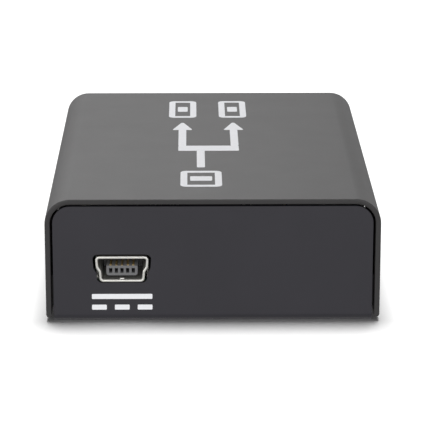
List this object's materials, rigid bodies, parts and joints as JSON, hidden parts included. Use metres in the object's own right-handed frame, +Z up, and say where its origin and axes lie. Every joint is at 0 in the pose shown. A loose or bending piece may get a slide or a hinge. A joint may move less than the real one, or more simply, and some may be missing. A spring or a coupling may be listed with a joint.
{
  "type": "hdmi splitter",
  "caption": "Flat black sheet-steel box that copies a video input to its outputs, with sockets in its sides, a power inlet in its end panel and a lift-off cover over its circuit board.",
  "frame": {"origin": "centre of the box's footprint, on the plane that it stands on", "axes": "+X towards the side with the video input, +Y along the case away from the power inlet, +Z up"},
  "size_m": [0.0474, 0.065, 0.018],
  "materials": {
    "black_paint": "satin black paint, fine grain",
    "zinc_plate": "zinc-plated steel",
    "nickel_plate": "nickel-plated steel, satin",
    "gold_plate": "gold-plated contacts",
    "laminate": "glass-fibre laminate with green solder mask",
    "black_resin": "moulded black resin",
    "grey_resin": "moulded grey resin",
    "ferrite": "pressed ferrite",
    "aluminium_can": "drawn aluminium",
    "steel_can": "drawn steel can",
    "tan_ceramic": "fired ceramic with tinned ends",
    "black_ceramic": "coated ceramic with tinned ends",
    "green_resin": "coated polymer with tinned ends",
    "red_lens": "clear tinted resin",
    "green_lens": "clear tinted resin"
  },
  "bodies": {
    "base": {"bottom_tray": "black_paint", "cover_screws": "zinc_plate", "circuit_board": "laminate", "board_standoffs": "zinc_plate", "board_screws": "zinc_plate", "video_in_shell": "nickel_plate", "video_in_insulator": "black_resin", "video_in_contacts": "gold_plate", "video_out_1_shell": "nickel_plate", "video_out_1_insulator": "black_resin", "video_out_1_contacts": "gold_plate", "video_out_2_shell": "nickel_plate", "video_out_2_insulator": "black_resin", "video_out_2_contacts": "gold_plate", "power_inlet_shell": "nickel_plate", "power_inlet_insulator": "grey_resin", "power_inlet_contacts": "gold_plate", "splitter_chip": "black_resin", "control_chip": "black_resin", "memory_chip": "black_resin", "crystal": "steel_can", "regulators": "black_resin", "power_inductor": "ferrite", "input_diode": "black_resin", "input_fuse": "green_resin", "capacitor_bases": "black_resin", "capacitor_cans": "aluminium_can", "surge_arrays": "black_resin", "chip_resistors": "black_ceramic", "ceramic_capacitors": "tan_ceramic", "power_led": "red_lens", "link_leds": "green_lens"},
    "cover": {"top_cover": "black_paint", "cover_brackets": "black_paint"}
  },
  "joints": [
    {"name": "cover_lift", "type": "slide", "parent": "base", "child": "cover", "axis": [0, 0, 1], "range_m": [0, 0.03]}
  ]
}
